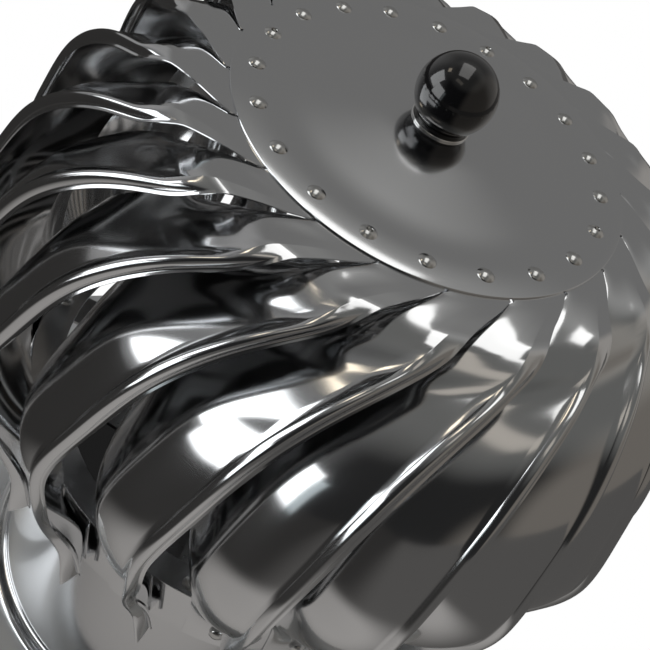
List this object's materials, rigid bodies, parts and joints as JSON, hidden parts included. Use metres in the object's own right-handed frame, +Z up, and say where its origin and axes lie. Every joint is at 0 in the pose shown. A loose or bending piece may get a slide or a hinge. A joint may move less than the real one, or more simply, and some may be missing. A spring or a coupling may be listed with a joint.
{
  "type": "rotating chimney cowl",
  "caption": "Chimney cowl with a turning ball of overlapping curved vanes above a round neck on a square base plate",
  "frame": {"origin": "middle of the base plate's underside, on the axis of rotation", "axes": "+Z up along the axis of rotation, X and Y along the sides of the base plate"},
  "size_m": [0.2968, 0.2968, 0.3395],
  "materials": {
    "vane_sheet": "polished stainless sheet",
    "disc_sheet": "polished stainless sheet",
    "ring_sheet": "polished stainless sheet",
    "neck_sheet": "polished stainless sheet",
    "plate_sheet": "smooth stainless sheet",
    "rivet_metal": "bright rivet heads",
    "strap_steel": "satin steel strap",
    "turned_steel": "turned steel",
    "bush_bronze": "sintered bronze",
    "dark_collar": "dark moulded collar",
    "knob_black": "glossy black ball"
  },
  "bodies": {
    "base": {"bearing_tube": "turned_steel", "upper_bush": "bush_bronze", "lower_bush": "bush_bronze", "upper_bracket": "strap_steel", "bracket_rivets": "rivet_metal", "lower_bracket": "strap_steel", "neck": "neck_sheet", "base_plate": "plate_sheet"},
    "rotor": {"vane_01": "vane_sheet", "vane_02": "vane_sheet", "vane_03": "vane_sheet", "vane_04": "vane_sheet", "vane_05": "vane_sheet", "vane_06": "vane_sheet", "vane_07": "vane_sheet", "vane_08": "vane_sheet", "vane_09": "vane_sheet", "vane_10": "vane_sheet", "vane_11": "vane_sheet", "vane_12": "vane_sheet", "vane_13": "vane_sheet", "vane_14": "vane_sheet", "vane_15": "vane_sheet", "vane_16": "vane_sheet", "vane_17": "vane_sheet", "vane_18": "vane_sheet", "vane_19": "vane_sheet", "vane_20": "vane_sheet", "top_disc": "disc_sheet", "disc_rivets": "rivet_metal", "open_rivets": "rivet_metal", "upper_cross": "strap_steel", "upper_hub": "turned_steel", "lower_ring": "ring_sheet", "ring_band": "ring_sheet", "ring_rivets": "rivet_metal", "lower_cross": "strap_steel", "lower_cross_rivets": "rivet_metal", "lower_hub": "turned_steel", "thrust_washer": "bush_bronze", "lock_collar": "turned_steel", "shaft": "turned_steel", "knob_washer": "turned_steel", "knob_collar": "dark_collar", "knob": "knob_black"}
  },
  "joints": [
    {"name": "rotor_spin", "type": "hinge", "parent": "base", "child": "rotor", "pos_m": [0, 0, 0.12], "axis": [0, 0, 1], "continuous": true}
  ]
}
